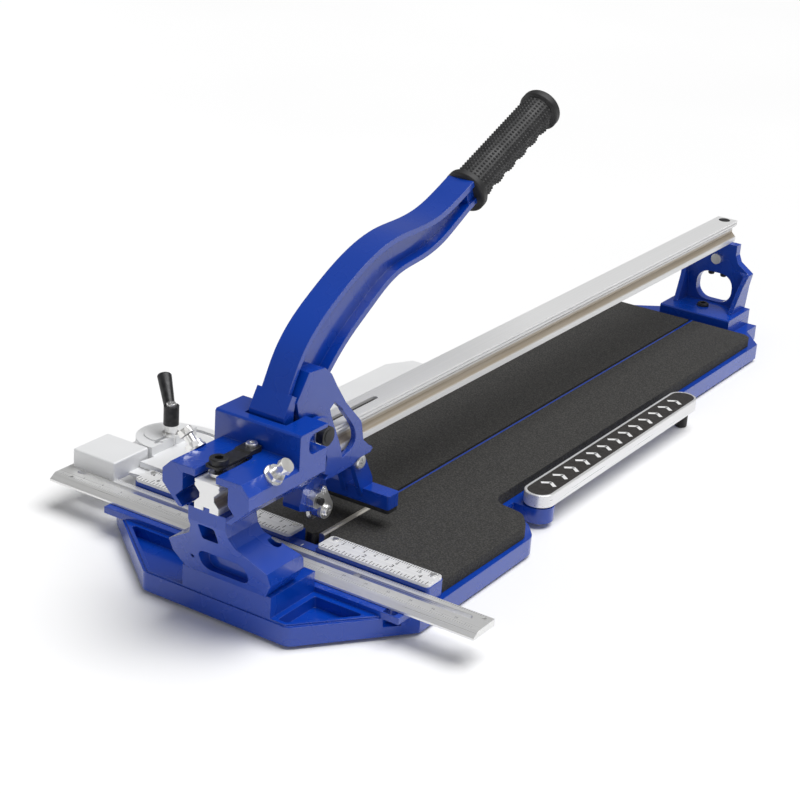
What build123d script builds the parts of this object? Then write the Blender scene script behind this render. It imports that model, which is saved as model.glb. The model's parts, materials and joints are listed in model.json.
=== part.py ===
"""Manual tile cutter: cast base, hourglass rail, bearing carriage, handle lever and side ruler.

Millimetres. X runs across the cut, Y from the nose to the rear, Z up from the table.
The origin is on the table, on the cut line, under the fence.
"""
from build123d import *
from math import cos, radians, sin
import os

os.makedirs("parts", exist_ok=True)

# ---------------------------------------------------------------- driving dimensions
strip_t = 3.0               # rubber strips that the base stands on
bed_z = 18.5                # top of the cast bed under the pads
pad_t = 10.5                # thickness of a table pad
pad_top = bed_z + pad_t
fence_z = 33.5              # top of the cast fence wall
plate_t = 2.5               # scale plates on the fence
fence_front = -7.0          # front face of the fence
fence_back = 15.0
fence_left = -168.0
fence_right = 118.0
gap_left = -11.0            # fence gap that the wheel runs through
gap_right = 15.0

nose_y = -100.0             # front face of the base
wing_rear = 148.0           # rear end of the wide wings
wall_right = 75.0           # side walls behind the wings
wall_left = -103.0
table_rear = 694.0
base_rear = 748.0

rail_top = 126.0
rail_bottom = 103.0
rail_half = 11.0
rail_waist = 6.5
rail_front = -125.0
rail_rear = 752.0
rail_mid = (rail_top + rail_bottom) / 2

seat_front = 695.0          # raised seat of the rear bracket
seat_half = 40.0
seat_z = 26.5
web_front = 738.0           # front face of the rear bracket's web

pedestal_half = 41.0        # pedestal in the nose that carries the front bracket
pedestal_z = 37.0
ledge_z = 24.0              # channel floor under the ruler bar
ledge_front = -44.0
rim_z = 20.0                # lip round the nose tray
tray_z = 11.0

carriage_front = -127.0
carriage_rear = -35.0
carriage_top = 134.0
block_half = 39.0
block_front = -68.0
block_top = 154.0

pivot_y = -22.0             # lever pivot
pivot_z = 137.0
pivot_r = 5.0
cheek_in = 12.5             # lever cheeks pass either side of the rail
cheek_out = 17.0

foot_y = 54.0               # breaker foot pivot
foot_z = 84.0
wheel_y = 9.7               # scoring wheel
wheel_z = 58.5
wheel_r = 11.0

arm_y = 207.0               # extension arms: pivot at the front, free end at the rear
arm_length = 271.0
arm_r = 13.5
arm_right = 92.0
arm_left = -120.0
arm_bottom = 20.0
arm_top = 31.0

bar_front = -37.0           # ruler bar
bar_back = -8.0
bar_bottom = 24.3
bar_top = 30.0
bar_left = -232.0
bar_right = 177.0

hub_x = -187.0              # hub of the swinging blade, with the clamp on it
hub_y = 62.0
blade_z = 32.5
blade_t = 5.0
run = 0.05                  # radial clearance of a running fit


# ---------------------------------------------------------------- helpers
def save(body, label):
    """Label one sub-part and write its STEP file."""
    body.label = label
    export_step(body, f"parts/{label}.step")


def save_group(solids, label):
    """Several equal pieces that share one node."""
    save(Compound(children=list(solids)), label)


def rod(point, direction, radius, length):
    """Solid round rod that starts at a point and runs along a direction."""
    with BuildPart(Plane(origin=point, z_dir=direction)) as made:
        Cylinder(radius, length, align=(Align.CENTER, Align.CENTER, Align.MIN))
    return made.part


def ring(point, direction, outer, inner, length):
    """Washer, spacer or sleeve."""
    seat = Plane(origin=point, z_dir=direction)
    with BuildPart(seat) as made:
        with BuildSketch(seat):
            Circle(outer)
            Circle(inner, mode=Mode.SUBTRACT)
        extrude(amount=length)
    return made.part


def hexagon(point, direction, across_flats, length, bore=0.0):
    """Hexagon nut or bolt head with turned corners and an optional bore."""
    seat = Plane(origin=point, z_dir=direction)
    with BuildPart(seat) as made:
        with BuildSketch(seat):
            RegularPolygon(across_flats / 2, 6, major_radius=False)
        extrude(amount=length)
        with BuildSketch(seat):
            Circle(across_flats * 0.56)
        extrude(amount=length, taper=6, mode=Mode.INTERSECT)
        if bore > 0:
            Cylinder(bore, 4 * length, mode=Mode.SUBTRACT)
    return made.part


def socket_screw(point, direction, head_r, head_h, shank_r, shank_l, key=0.0):
    """Cap screw: head above the point, shank below it, optional hexagon socket."""
    seat = Plane(origin=point, z_dir=direction)
    with BuildPart(seat) as made:
        Cylinder(head_r, head_h * 0.7, align=(Align.CENTER, Align.CENTER, Align.MIN))
        with BuildSketch(seat.offset(head_h * 0.7)):
            Circle(head_r)
        extrude(amount=head_h * 0.3, taper=35)
        Cylinder(shank_r, shank_l, align=(Align.CENTER, Align.CENTER, Align.MAX))
        if key > 0:
            with BuildSketch(seat.offset(head_h)):
                RegularPolygon(key, 6)
            extrude(amount=-head_h * 0.55, mode=Mode.SUBTRACT)
    return made.part


def corners_at(corners, *spots):
    """Sketch corners that lie at the given X, Y spots."""
    return [corner for corner in corners
            if any(abs(corner.X - x) + abs(corner.Y - y) < 0.1 for x, y in spots)]


# ---------------------------------------------------------------- base
right_outline = [(58, nose_y), (121, -20), (120, wing_rear), (104, 168), (wall_right, 172),
                 (wall_right, table_rear), (50, 724), (50, base_rear)]
left_outline = [(-50, base_rear), (-50, 735), (wall_left, table_rear), (wall_left, 172), (-142, 168),
                (fence_left, wing_rear), (fence_left, -28), (-78, nose_y)]
tray_left = [(-46, nose_y + 4), (-46, ledge_front - 4), (-135.5, ledge_front - 4), (-74.5, nose_y + 4)]
tray_right = [(46, nose_y + 4), (53.5, nose_y + 4), (91, ledge_front - 6), (46, ledge_front - 6)]

with BuildPart() as base_casting:
    with BuildSketch(Plane.XY.offset(strip_t)):
        Polygon(*right_outline, *left_outline, align=None)
        fillet(corners_at(vertices(), (120, wing_rear), (104, 168), (fence_left, wing_rear), (-142, 168)), 16)
        fillet(corners_at(vertices(), (wall_right, 172), (wall_left, 172)), 13)
    extrude(amount=bed_z - strip_t)
    nose_edges = base_casting.edges().filter_by(Axis.Z).group_by(Axis.Y)[0]
    fillet(nose_edges, 9)
    # nose: tray lip, pedestal and the ledge under the ruler bar
    with BuildSketch(Plane.XY.offset(bed_z)):
        Polygon((-75, nose_y + 1), (55, nose_y + 1), (118, -22), (118, -8), (-163, -8), (-163, -30), align=None)
    extrude(amount=rim_z - bed_z)
    with BuildSketch(Plane.XY.offset(bed_z)):
        with Locations((-25, (ledge_front + fence_front) / 2)):
            Rectangle(fence_right - fence_left - 2, fence_front - ledge_front)
    extrude(amount=ledge_z - bed_z)
    with BuildSketch(Plane.XY.offset(bed_z)):
        with Locations((0, (nose_y + ledge_front) / 2 + 0.5)):
            Rectangle(2 * pedestal_half, ledge_front - nose_y - 1)
    extrude(amount=pedestal_z - bed_z)
    for corner_points in (tray_left, tray_right):
        with BuildSketch(Plane.XY.offset(60)):
            Polygon(*corner_points, align=None)
            fillet(vertices(), 2)
        extrude(amount=-(60 - tray_z), mode=Mode.SUBTRACT)
    with BuildSketch(Plane.XY.offset(60)):
        with Locations((107, -37)):
            RectangleRounded(11, 12, 2)
    extrude(amount=-(60 - tray_z), mode=Mode.SUBTRACT)
    # fence wall with the low gap that the wheel runs through
    with BuildSketch(Plane.XY.offset(bed_z)):
        with Locations(((fence_left + fence_right) / 2, (fence_front + fence_back) / 2)):
            RectangleRounded(fence_right - fence_left, fence_back - fence_front, 3)
    extrude(amount=fence_z - bed_z)
    with BuildSketch(Plane.XY.offset(60)):
        with Locations(((gap_left + gap_right) / 2, (fence_front + fence_back) / 2)):
            Rectangle(gap_right - gap_left, fence_back - fence_front + 2)
    extrude(amount=-30, mode=Mode.SUBTRACT)
    with BuildSketch(Plane.XY.offset(60)):
        with Locations(((gap_left + gap_right) / 2, 10)):
            Rectangle(gap_right - gap_left, 14)
    extrude(amount=-(60 - bed_z), mode=Mode.SUBTRACT)
    # rib between the pads, behind the breaker anvil
    with BuildSketch(Plane.XY.offset(bed_z)):
        with Locations((1.6, (96 + 688) / 2)):
            Rectangle(1.8, 688 - 96)
    extrude(amount=pad_t - 0.7)
    # lugs that carry the extension arms
    with BuildSketch(Plane.XY.offset(strip_t + 2)):
        for lug_x, wall_x in ((arm_right, wall_right), (arm_left, wall_left)):
            with Locations((lug_x, arm_y)):
                Circle(arm_r)
            with Locations(((lug_x + wall_x) / 2, arm_y)):
                Rectangle(abs(lug_x - wall_x), 2 * arm_r)
    extrude(amount=bed_z - strip_t - 2)
    with Locations((arm_right, arm_y, bed_z), (arm_left, arm_y, bed_z)):
        Hole(4.0)
    # raised seat of the rear bracket and the hole of its screw
    with BuildSketch(Plane.XY.offset(bed_z)):
        with Locations((0, (seat_front + base_rear) / 2)):
            Rectangle(2 * seat_half, base_rear - seat_front)
    extrude(amount=seat_z - bed_z)
    with Locations((-3, 722, seat_z)):
        Hole(3.0, depth=14)
    with Locations((-28, -80, pedestal_z), (28, -80, pedestal_z)):
        Hole(3.0, depth=26)
    with Locations((-60, -17, ledge_z), (60, -17, ledge_z)):
        Hole(2.8, depth=10)
    # ribbed hollow under the table
    with BuildSketch(Plane.XY.offset(strip_t - 1)):
        for y_low, y_high in ((30, 142), (178, 320), (330, 500), (510, 684)):
            with Locations(((wall_right + 8) / 2, (y_low + y_high) / 2)):
                Rectangle(wall_right - 20, y_high - y_low)
            with Locations(((wall_left - 8) / 2, (y_low + y_high) / 2)):
                Rectangle(-wall_left - 20, y_high - y_low)
    extrude(amount=10.5, mode=Mode.SUBTRACT)
save(base_casting.part, "base_casting")

with BuildPart() as base_strips:
    with BuildSketch():
        with Locations((-24, 0)):
            RectangleRounded(270, 16, 4)
        with Locations((-20, 740 - 14)):
            RectangleRounded(80, 14, 4)
        with Locations((-20, 0.5 * (wing_rear + 178) - 4)):
            RectangleRounded(150, 14, 4)
        with Locations((-14, 505)):
            RectangleRounded(150, 8, 3)
        with Locations((-10, nose_y + 14)):
            RectangleRounded(110, 12, 4)
    extrude(amount=strip_t)
save(base_strips.part, "base_rubber_strips")

with BuildPart() as anvil:
    with BuildSketch(Plane.XY.offset(bed_z)):
        with Locations((0, 57)):
            Rectangle(5, 70)
    extrude(amount=pad_top + 0.8 - bed_z)
    chamfer(anvil.edges().group_by(Axis.Z)[-1].filter_by(Axis.Y), 1.2)
save(anvil.part, "breaker_anvil")

pad_right_outline = [(gap_right + 1, fence_back + 0.5), (115, fence_back + 0.5), (116.5, 142), (102, 161),
                     (wall_right - 5, 166), (wall_right - 5, 681), (63, 686), (3.2, 686),
                     (3.2, 94), (2.8, 94), (2.8, 30), (10, 18.5), (gap_right + 1, 18.5)]
pad_left_outline = [(gap_left - 1, fence_back + 0.5), (-163, fence_back + 0.5), (-164.5, 142), (-140, 161),
                    (wall_left + 5, 166), (wall_left + 5, 675), (-84, 686), (-1.4, 686),
                    (-1.4, 94), (-2.8, 94), (-2.8, 30), (-7, 18.5), (gap_left - 1, 18.5)]
for pad_label, pad_points in (("right_pad", pad_right_outline), ("left_pad", pad_left_outline)):
    with BuildPart() as pad:
        with BuildSketch(Plane.XY.offset(bed_z)):
            Polygon(*pad_points, align=None)
            fillet(corners_at(vertices(), (116.5, 142), (102, 161), (-164.5, 142), (-140, 161)), 15)
            fillet(corners_at(vertices(), (wall_right - 5, 166), (wall_left + 5, 166)), 15)
        extrude(amount=pad_t)
        corner_edges = pad.edges().filter_by(Axis.Z).group_by(Axis.Y)[-1]
        fillet(corner_edges.sort_by(Axis.X)[-1 if pad_label == "right_pad" else 0], 5)
    save(pad.part, pad_label)

for plate_label, x_low, x_high in (("left_scale_plate", fence_left + 0.5, gap_left - 0.3),
                                   ("right_scale_plate", gap_right + 0.3, fence_right - 0.5)):
    with BuildPart() as plate:
        with BuildSketch(Plane.XY.offset(fence_z)):
            with Locations(((x_low + x_high) / 2, (fence_front + fence_back) / 2)):
                RectangleRounded(x_high - x_low, fence_back - fence_front - 0.6, 3.5)
            with Locations((x_low + 6, 10), (x_high - 6, 10)):
                Circle(1.5, mode=Mode.SUBTRACT)
        extrude(amount=plate_t)
    save(plate.part, plate_label)

screw_spots = [fence_left + 6.5, gap_left - 6.3, gap_right + 6.3, fence_right - 6.5]
save_group([socket_screw((x, 10, fence_z + plate_t), (0, 0, 1), 2.6, 0.9, 1.5, plate_t) for x in screw_spots],
           "scale_plate_screws")

# ---------------------------------------------------------------- rail and its brackets
rail_side = [(rail_half, rail_top), (rail_half, rail_top - 2), (rail_half - 0.8, rail_top - 2.6),
             (rail_half, rail_top - 3.2), (rail_half, rail_top - 5),
             (rail_waist, rail_mid + 2), (rail_waist, rail_mid - 2),
             (rail_half, rail_bottom + 5), (rail_half, rail_bottom), (2.9, rail_bottom), (2.9, rail_bottom + 3)]
plug_y = 743.0
with BuildPart() as rail:
    with BuildSketch(Plane.XZ.offset(-rail_front)):
        Polygon(*rail_side, *[(-x, z) for x, z in reversed(rail_side)], align=None)
    extrude(amount=-(rail_rear - rail_front))
    with BuildSketch(Plane.XY.offset(rail_top)):
        with Locations((0, (-90 + 88) / 2)):
            SlotOverall(88 + 90, 5.0, rotation=90)
    extrude(amount=-6, mode=Mode.SUBTRACT)
    with Locations((0, plug_y, rail_top)):
        Hole(6.0, depth=6)
    with Locations((0, -107, rail_bottom + 3)):
        with Locations(Rotation(180, 0, 0)):
            Hole(2.5, depth=9)
    with Locations((-7, 743, rail_bottom), (7, 743, rail_bottom)):
        with Locations(Rotation(180, 0, 0)):
            Hole(2.0, depth=6.5)
save(rail.part, "rail")

with BuildPart() as rail_plug:
    with Locations((0, plug_y, rail_top - 6)):
        Cylinder(6.0, 6.4, align=(Align.CENTER, Align.CENTER, Align.MIN))
    fillet(rail_plug.edges().group_by(Axis.Z)[-1], 0.5)
save(rail_plug.part, "rail_plug")

front_half = [(0, pedestal_z), (37, pedestal_z), (45, 50), (45, 62), (21, 77), (17, 86), (17, rail_bottom),
              (2.8, rail_bottom), (2.8, rail_bottom + 2.6)]
with BuildPart() as front_bracket:
    with BuildSketch(Plane.XZ.offset(130)):
        Polygon(*front_half, *[(-x, z) for x, z in reversed(front_half)], align=None)
    extrude(amount=-80)
    with BuildSketch(Plane.YZ.offset(-60)):
        Polygon((nose_y, pedestal_z), (-64, pedestal_z), (-66, 58), (-84, 80), (-90, rail_bottom),
                (-90, rail_bottom + 2.6), (-124, rail_bottom + 2.6), (-124, 92), align=None)
    extrude(amount=120, mode=Mode.INTERSECT)
    with BuildSketch(Plane.XZ.offset(130)):
        with Locations((3, 52.5)):
            RectangleRounded(44, 19, 8)
        with Locations((-26, 52)):
            Circle(1.6)
        with Locations((-1.5, 83)):
            RectangleRounded(15, 14, 2)
    extrude(amount=-34, mode=Mode.SUBTRACT)
    with BuildSketch(Plane.XZ.offset(96)):
        with Locations((0, 84)):
            RectangleRounded(20, 12, 2)
    extrude(amount=-30, mode=Mode.SUBTRACT)
    with BuildSketch(Plane.XY.offset(pedestal_z)):
        with Locations((-28, -80), (28, -80)):
            Circle(3.1)
    extrude(amount=12, mode=Mode.SUBTRACT)
    with BuildSketch(Plane.XY.offset(44)):
        with Locations((-28, -80), (28, -80)):
            Circle(5.6)
    extrude(amount=30, mode=Mode.SUBTRACT)
    with Locations((0, -107, rail_bottom + 2.6)):
        Hole(2.6, depth=40)
save(front_bracket.part, "front_bracket")

rear_half = [(34, seat_z + 7), (36, 60), (38.5, 74), (24, 84), (20.5, 92), (20.5, rail_bottom),
             (2.8, rail_bottom), (2.8, rail_bottom + 2.6)]
rear_pocket = [(29, seat_z + 8.5), (31, 60), (33, 71.5), (20, 80), (15.5, 90), (15.5, 110)]
with BuildPart() as rear_bracket:
    with BuildSketch(Plane.XZ.offset(-(seat_front + 19))):
        Polygon(*rear_half, *[(-x, z) for x, z in reversed(rear_half)], align=None)
    extrude(amount=-(base_rear - seat_front - 19))
    # the web stands back between side flanges, which slope back towards the top
    with BuildSketch(Plane.XZ.offset(-seat_front)):
        Polygon(*rear_pocket, *[(-x, z) for x, z in reversed(rear_pocket)], align=None)
    extrude(amount=-(web_front - seat_front), mode=Mode.SUBTRACT)
    with BuildSketch(Plane.YZ.offset(-60)):
        Polygon((700, 36), (715, 36), (web_front, 76), (web_front, 120), (700, 120), align=None)
    extrude(amount=120, mode=Mode.SUBTRACT)
    with BuildSketch(Plane.XZ.offset(-seat_front)):
        with Locations((0, 53)):
            RectangleRounded(41, 32, 14)
    extrude(amount=-60, mode=Mode.SUBTRACT)
    # foot plate on the raised seat of the base
    with BuildSketch(Plane.XY.offset(seat_z)):
        with Locations((0, (seat_front + base_rear) / 2)):
            Rectangle(2 * seat_half, base_rear - seat_front)
    extrude(amount=8.5)
    chamfer(rear_bracket.edges().filter_by(Axis.X).group_by(Axis.Y)[0].sort_by(Axis.Z)[-1], 1.2)
    with Locations((-3, 722, seat_z + 8.5)):
        CounterBoreHole(3.1, 6.4, 0.5, depth=9)
    with Locations((-7, 743, rail_bottom), (7, 743, rail_bottom)):
        Hole(2.0, depth=35.5)
    with Locations(Plane(origin=(0, web_front, 85), z_dir=(0, -1, 0))):
        Hole(3.1, depth=8.5)
save(rear_bracket.part, "rear_bracket")

bracket_screws = [socket_screw((x, -80, 44), (0, 0, 1), 5.0, 5.0, 2.95, 24, key=2.9) for x in (-28, 28)]
bracket_screws.append(socket_screw((-3, 722, seat_z + 8), (0, 0, 1), 6.2, 3.6, 2.95, 20, key=3.2))
save_group(bracket_screws, "bracket_screws")

rail_screws = [socket_screw((0, -107, 89.5), (0, 0, -1), 4.5, 4.5, 2.45, 24, key=2.5)]
rail_screws += [socket_screw((x, 743, 68.2), (0, 0, -1), 3.4, 3.4, 1.95, 40, key=1.9) for x in (-7, 7)]
save_group(rail_screws, "rail_screws")
stop_bolt = rod((0, web_front + 8, 85), (0, -1, 0), 3.05, 10)
stop_bolt = stop_bolt.fuse(hexagon((0, web_front, 85), (0, -1, 0), 11, 4.5))
save(stop_bolt.clean(), "rear_stop_bolt")

# ---------------------------------------------------------------- carriage
shoulder = Vector(1, 0, 1).normalized()
roller_r = 9.5
roller_w = 5.0
roller_bore = 4.0
roller_x = 8.75 + (roller_r + run) * shoulder.X     # rim runs on the 45 degree flank of the rail
roller_z = rail_top - 7.25 - (roller_r + run) * shoulder.Z
roller_front_y = -94.0
roller_rear_y = -71.5
shoulder_sum = 165.5                                # X + Z on the carriage shoulders


def on_shoulder(side, y, distance):
    """Point on a roller axis, a distance outward from the middle of the roller."""
    return (side * (roller_x + distance * shoulder.X), y, roller_z + distance * shoulder.Z)


def outward(side):
    """Direction of a roller axis, out through the carriage shoulder."""
    return (side * shoulder.X, 0, shoulder.Z)


shoulder_gap = (shoulder_sum - roller_x - roller_z) / 2 ** 0.5   # from roller middle to shoulder face

carriage_half_outline = [(0, carriage_top), (31.5, carriage_top), (39, shoulder_sum - 39), (39, 116),
                         (24, 101), (20.5, 101), (20.5, 128.5), (0, 128.5)]
with BuildPart() as carriage_body:
    with BuildSketch(Plane.XZ.offset(-carriage_front)):
        Polygon(*carriage_half_outline, *[(-x, z) for x, z in reversed(carriage_half_outline)], align=None)
    extrude(amount=-(carriage_rear - carriage_front))
    # raised block with the lever slot
    with BuildSketch(Plane.XZ.offset(-block_front)):
        with Locations((0, (122 + block_top) / 2)):
            Rectangle(2 * block_half, block_top - 122)
        with Locations((0, 120)):
            Rectangle(41, 17, mode=Mode.SUBTRACT)
    extrude(amount=-(carriage_rear - block_front))
    chamfer(carriage_body.edges().filter_by(Axis.X).group_by(Axis.Z)[-1].sort_by(Axis.Y)[0], 1.5)
    with BuildSketch(Plane.XY.offset(160)):
        with Locations((0, (-59 - 20) / 2)):
            Rectangle(38, 39)
    extrude(amount=-45, mode=Mode.SUBTRACT)
    # side pockets where the pivot nut and bolt head sit
    with BuildSketch(Plane.YZ.offset(-45)):
        with Locations((-38, 143)):
            RectangleRounded(38, 16, 6)
    extrude(amount=21, mode=Mode.SUBTRACT)
    with BuildSketch(Plane.YZ.offset(24)):
        with Locations((-38, 143)):
            RectangleRounded(38, 16, 6)
    extrude(amount=21, mode=Mode.SUBTRACT)
    # ears for the pivot bolt
    for ear_x in (-24, 19.5):
        with BuildSketch(Plane.YZ.offset(ear_x)):
            Polygon((-42, 124), (-24, 122), (-12, 128), (-9, 137), (-13, 147), (-22, 150), (-42, 150), align=None)
        extrude(amount=4.5)
    with BuildSketch(Plane.YZ.offset(-30)):
        with Locations((pivot_y, pivot_z)):
            Circle(pivot_r + run)
    extrude(amount=60, mode=Mode.SUBTRACT)
    # slot of the latch
    with BuildSketch(Plane.XY.offset(carriage_top + 1)):
        with Locations((0, -104)):
            SlotOverall(50, 19, rotation=90)
        with Locations((0, -118)):
            Rectangle(19, 20)
    extrude(amount=-8, mode=Mode.SUBTRACT)
    # bearing recesses and their axle holes
    for side in (-1, 1):
        for y, hole_depth in ((roller_front_y, 40), (roller_rear_y, 17)):
            with BuildSketch(Plane(origin=on_shoulder(side, y, -4), x_dir=(0, 1, 0), z_dir=outward(side))):
                Circle(roller_r + 0.9)
            extrude(amount=9.4, mode=Mode.SUBTRACT)
            with BuildSketch(Plane(origin=on_shoulder(side, y, 0), x_dir=(0, 1, 0), z_dir=outward(side))):
                Circle(roller_bore)
            extrude(amount=hole_depth, mode=Mode.SUBTRACT)
        with BuildSketch(Plane(origin=on_shoulder(side, carriage_front, -4), x_dir=(0, 1, 0),
                               z_dir=outward(side))):
            with Locations((15, 0)):
                Rectangle(40, 2 * roller_r + 1.8)
        extrude(amount=9.4, mode=Mode.SUBTRACT)
    with Locations((0, -74, carriage_top)):
        Hole(2.0, depth=5)
save(carriage_body.part, "carriage_body")

for name, y in (("front", roller_front_y), ("rear", roller_rear_y)):
    for side_name, side in (("left", -1), ("right", 1)):
        bearing = ring(on_shoulder(side, y, -roller_w / 2), outward(side), roller_r, roller_bore, roller_w)
        save(bearing, f"{name}_{side_name}_bearing")

axles = []
for side in (-1, 1):
    for y, reach in ((roller_front_y, shoulder_gap + 12), (roller_rear_y, 16.8)):
        inner = rod(on_shoulder(side, y, -roller_w / 2 - 0.6), outward(side), roller_bore - run, reach + 3.1)
        flange = ring(on_shoulder(side, y, -roller_w / 2 - 1.6), outward(side), 5.4, 0.5, 1.4)
        axles.append(inner.fuse(flange).clean())
save_group(axles, "bearing_axles")

save_group([ring(on_shoulder(side, roller_front_y, shoulder_gap), outward(side), 8.0, 4.0, 1.4)
            for side in (-1, 1)], "axle_washers")
save_group([hexagon(on_shoulder(side, roller_front_y, shoulder_gap + 1.4), outward(side), 13, 4.2, bore=4.0)
            for side in (-1, 1)], "jam_nuts")
save_group([hexagon(on_shoulder(side, roller_front_y, shoulder_gap + 12.6), outward(side), 11, 5.0)
            for side in (-1, 1)], "axle_heads")

leaf_y = -74.0
knob_y = -112.0
with BuildPart() as latch_leaf:
    with BuildSketch(Plane.YZ.offset(-7)):
        Polygon((-69.5, carriage_top), (-69.5, 137.8), (-84, 137.8), (-86, 136.6), (knob_y - 8, 136.6),
                (knob_y - 8, 134.8), (-78, 134.8), (-78, carriage_top), align=None)
    extrude(amount=14)
    fillet(latch_leaf.edges().filter_by(Axis.Z), 2.5)
    with Locations((0, knob_y, 140)):
        Hole(3.0, depth=10)
    with Locations((0, leaf_y, 140)):
        Hole(2.0, depth=10)
save(latch_leaf.part, "latch_leaf")
save(socket_screw((0, leaf_y, 137.8), (0, 0, 1), 4.6, 2.4, 1.95, 8.4, key=2.0), "leaf_screw")
with BuildPart() as latch_screw:
    with Locations((0, knob_y, 136.6)):
        Cylinder(7.2, 4.6, align=(Align.CENTER, Align.CENTER, Align.MIN))
    fillet(latch_screw.edges().group_by(Axis.Z)[-1], 1.0)
    with Locations((0, knob_y, 127.2)):
        Cylinder(2.95, 9.5, align=(Align.CENTER, Align.CENTER, Align.MIN))
    with BuildSketch(Plane.XY.offset(141.2)):
        with Locations((0, knob_y)):
            RegularPolygon(3.6, 6)
    extrude(amount=-3, mode=Mode.SUBTRACT)
save(latch_screw.part, "latch_screw")
save(ring((0, knob_y, 127.6), (0, 0, 1), 6.6, 2.95, 2.4), "latch_spacer")

# ---------------------------------------------------------------- lever
lever_top = [(-58, 158), (-48, 174), (-35, 197), (-15, 217.5), (8, 232.5), (36, 247.5), (62, 257.5),
             (90, 262.8), (118, 263.5), (148, 267), (174, 276), (196, 285.5)]
lever_low = [(204, 266), (180, 255), (152, 241.5), (120, 234.5), (92, 231), (78, 226), (52, 211), (27, 195),
             (4, 175), (-10, 160)]
tilt = 23.0                                     # grip axis above horizontal
grip_start = Vector(0, 198, 270.5)
grip_dir = Vector(0, cos(radians(tilt)), sin(radians(tilt)))
with BuildPart() as lever:
    # web
    with BuildSketch(Plane.YZ.offset(-4)):
        with BuildLine():
            Spline(*lever_top)
            Polyline(lever_top[-1], lever_low[0])
            Spline(*lever_low)
            Polyline(lever_low[-1], (-24, 150), (-44, 150), lever_top[0])
        make_face()
    extrude(amount=8)
    # flanges follow the same two curves
    with BuildSketch(Plane.YZ.offset(-12)):
        with BuildLine():
            Spline(*lever_top)
            Polyline(lever_top[-1], (198.2, 281))
            Spline((198.2, 281), (176, 271.3), (149, 262.2), (118, 258.7), (90.5, 258), (63.5, 253), (38, 243.2),
                   (10.5, 228.5), (-11.5, 214), (-31, 194.5), (-43.5, 172), (-53.5, 156.5))
            Polyline((-53.5, 156.5), lever_top[0])
        make_face()
        with BuildLine():
            Spline(*lever_low)
            Polyline(lever_low[-1], (-13.5, 163.5))
            Spline((-13.5, 163.5), (1, 178.7), (24.5, 199), (50, 215.5), (76.5, 230.3), (91, 235.3), (119, 238.8),
                   (150, 246), (178, 259.3), (202, 270.3))
            Polyline((202, 270.3), lever_low[0])
        make_face()
    extrude(amount=24)
    with BuildSketch(Plane(origin=(0, 198, 270.5), x_dir=(1, 0, 0), z_dir=grip_dir)):
        Rectangle(60, 120)
    extrude(amount=60, mode=Mode.SUBTRACT)
    # narrow end that goes up inside the grip
    with BuildSketch(Plane(origin=(0, 190, 267.1), x_dir=(1, 0, 0), z_dir=grip_dir)):
        RectangleRounded(19, 19, 4)
    extrude(amount=118)
    # wide foot of the top flange, inside the slot of the carriage
    with BuildSketch(Plane.YZ.offset(-16)):
        Polygon((-58, 158), (-48.5, 173), (-43, 170), (-46, 160), (-46, 150), (-52, 146), (-57, 150), align=None)
    extrude(amount=32)
    # cheeks either side of the rail
    for cheek_x in (-cheek_out, cheek_in):
        with BuildSketch(Plane.YZ.offset(cheek_x)):
            Polygon((-44, 166), (-30, 186), (-10, 184), (-1, 176.5), (7, 164.5), (20, 147), (43, 124),
                    (47, 107), (59, 97), (58, 93), (41, 93), (36, 90), (8, 89), (-3, 95), (-1, 108),
                    (-8, 122), (-22, 124.5), (-34, 130), (-38, 146), align=None)
            fillet(corners_at(vertices(), (43, 124)), 12)
            fillet(corners_at(vertices(), (47, 107), (-1, 108), (-8, 122)), 5)
            with BuildLine():
                Polyline((-1, 148), (5, 152), (16, 143))
                Spline((16, 143), (33, 122), (36, 113), (29, 104))
                Polyline((29, 104), (19, 101))
                Spline((19, 101), (14, 116), (6, 132), (-1, 148))
            make_face(mode=Mode.SUBTRACT)
        extrude(amount=cheek_out - cheek_in)
    # ramp from the web out to the cheeks
    with BuildSketch(Plane.YZ.offset(-cheek_out)):
        Polygon((-44, 166), (-30, 186), (-10, 184), (-6, 180.5), (-19, 176), (-34, 158), (-40, 158), align=None)
    extrude(amount=2 * cheek_out)
    # pivot tube above the rail and the bridge under it
    with BuildSketch(Plane.YZ.offset(-cheek_out)):
        with Locations((pivot_y, pivot_z)):
            Circle(9)
        Polygon((-26, 145), (-18, 145), (-20, 160), (-38, 160), (-36, 150), align=None)
    extrude(amount=2 * cheek_out)
    with BuildSketch(Plane.YZ.offset(-cheek_out)):
        Polygon((-3, 90), (10, 98), (26, 98), (59, 98), (61, 95.5), (58, 93), (41, 93), (36, 90), (8, 89),
                align=None)
    extrude(amount=2 * cheek_out)
    with BuildSketch(Plane.YZ.offset(-5)):
        Polygon((40, 94), (58, 94), (foot_y + 7.5, foot_z), (foot_y + 4, foot_z - 7), (foot_y - 4, foot_z - 7),
                (foot_y - 8, foot_z), align=None)
    extrude(amount=10)
    with BuildSketch(Plane.YZ.offset(-30)):
        with Locations((pivot_y, pivot_z)):
            Circle(pivot_r)
        with Locations((foot_y, foot_z)):
            Circle(3.0 + run)
    extrude(amount=60, mode=Mode.SUBTRACT)
save(lever.part, "lever_arm")

grip_plane = Plane(origin=grip_start, x_dir=(1, 0, 0), z_dir=grip_dir)
with BuildPart() as grip:
    with BuildSketch(grip_plane):
        Circle(19)
    extrude(amount=7)
    with BuildSketch(grip_plane.offset(7)):
        Circle(16.2)
    extrude(amount=115)
    with BuildSketch(grip_plane.offset(122)):
        Circle(18)
    extrude(amount=10)
    fillet(grip.edges().filter_by(GeomType.CIRCLE).sort_by(Axis(grip_start, grip_dir))[-1], 4)
    with BuildSketch(grip_plane.offset(-1)):
        RectangleRounded(19, 19, 4)
    extrude(amount=111.2, mode=Mode.SUBTRACT)
save(grip.part, "grip")

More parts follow.
